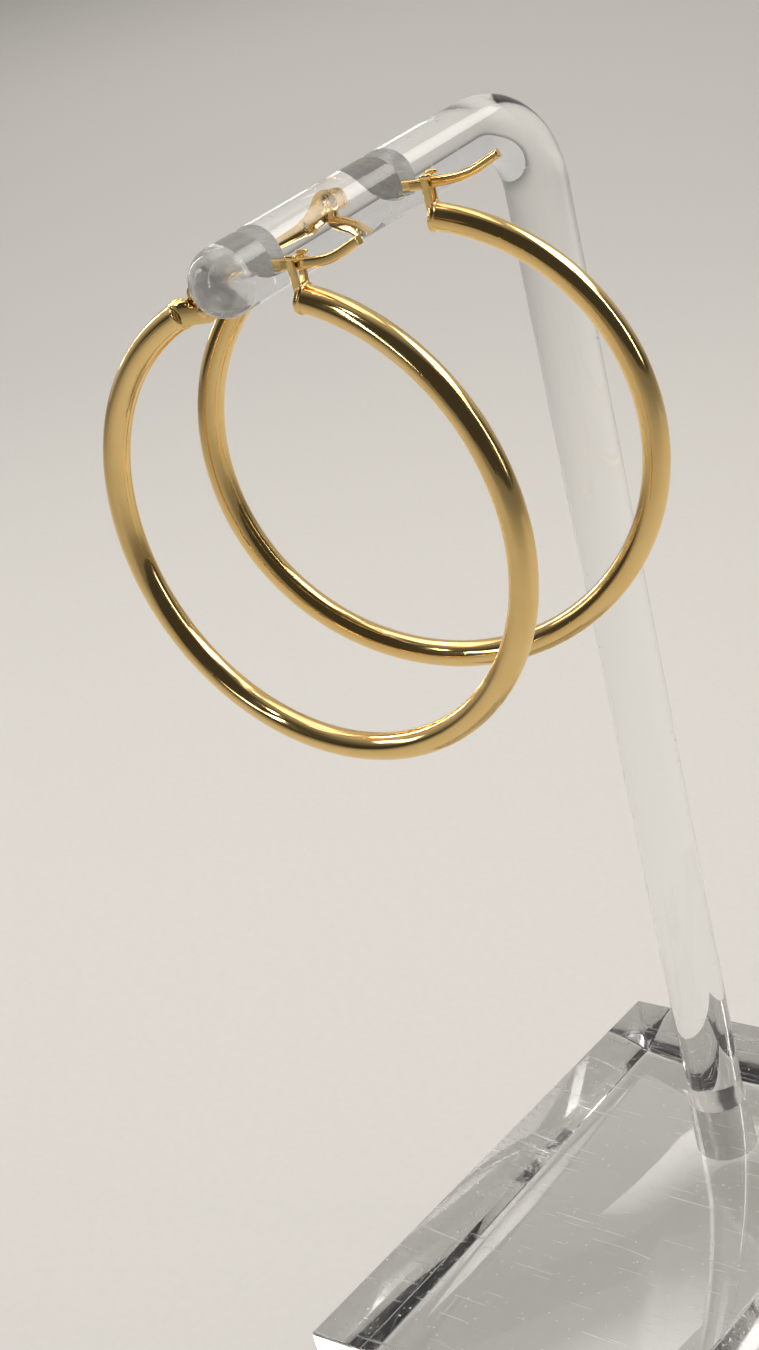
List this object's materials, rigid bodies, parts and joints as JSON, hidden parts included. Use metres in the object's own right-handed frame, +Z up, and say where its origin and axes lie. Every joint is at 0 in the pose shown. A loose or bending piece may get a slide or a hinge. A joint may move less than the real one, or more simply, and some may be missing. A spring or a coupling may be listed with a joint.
{
  "type": "hoop earrings on display stand",
  "caption": "Pair of polished gold tube hoop earrings with hinged ear wires and snap catches, hung in the notches of a clear bent-rod display stand on a block base.",
  "frame": {"origin": "middle of the base block's underside", "axes": "+Z up, -Y the way the rod's arm points, +X to the right seen from the arm's free end"},
  "size_m": [0.0582, 0.0824, 0.1737],
  "materials": {
    "clear_acrylic": "clear polished acrylic",
    "gold": "high polish yellow gold"
  },
  "bodies": {
    "stand": {"stand_base": "clear_acrylic", "stand_rod": "clear_acrylic", "near_hoop": "gold", "near_hinge_pin": "gold", "far_hoop": "gold", "far_hinge_pin": "gold"},
    "near_wire": {"near_ear_wire": "gold"},
    "far_wire": {"far_ear_wire": "gold"}
  },
  "joints": [
    {"name": "near_wire_hinge", "type": "hinge", "parent": "stand", "child": "near_wire", "pos_m": [-0.00909, -0.02727, 0.16282], "axis": [0.068, -0.9977, 0], "range_deg": [0, 60]},
    {"name": "far_wire_hinge", "type": "hinge", "parent": "stand", "child": "far_wire", "pos_m": [-0.00826, -0.00685, 0.16417], "axis": [0.3156, -0.9489, 0], "range_deg": [0, 60]}
  ]
}
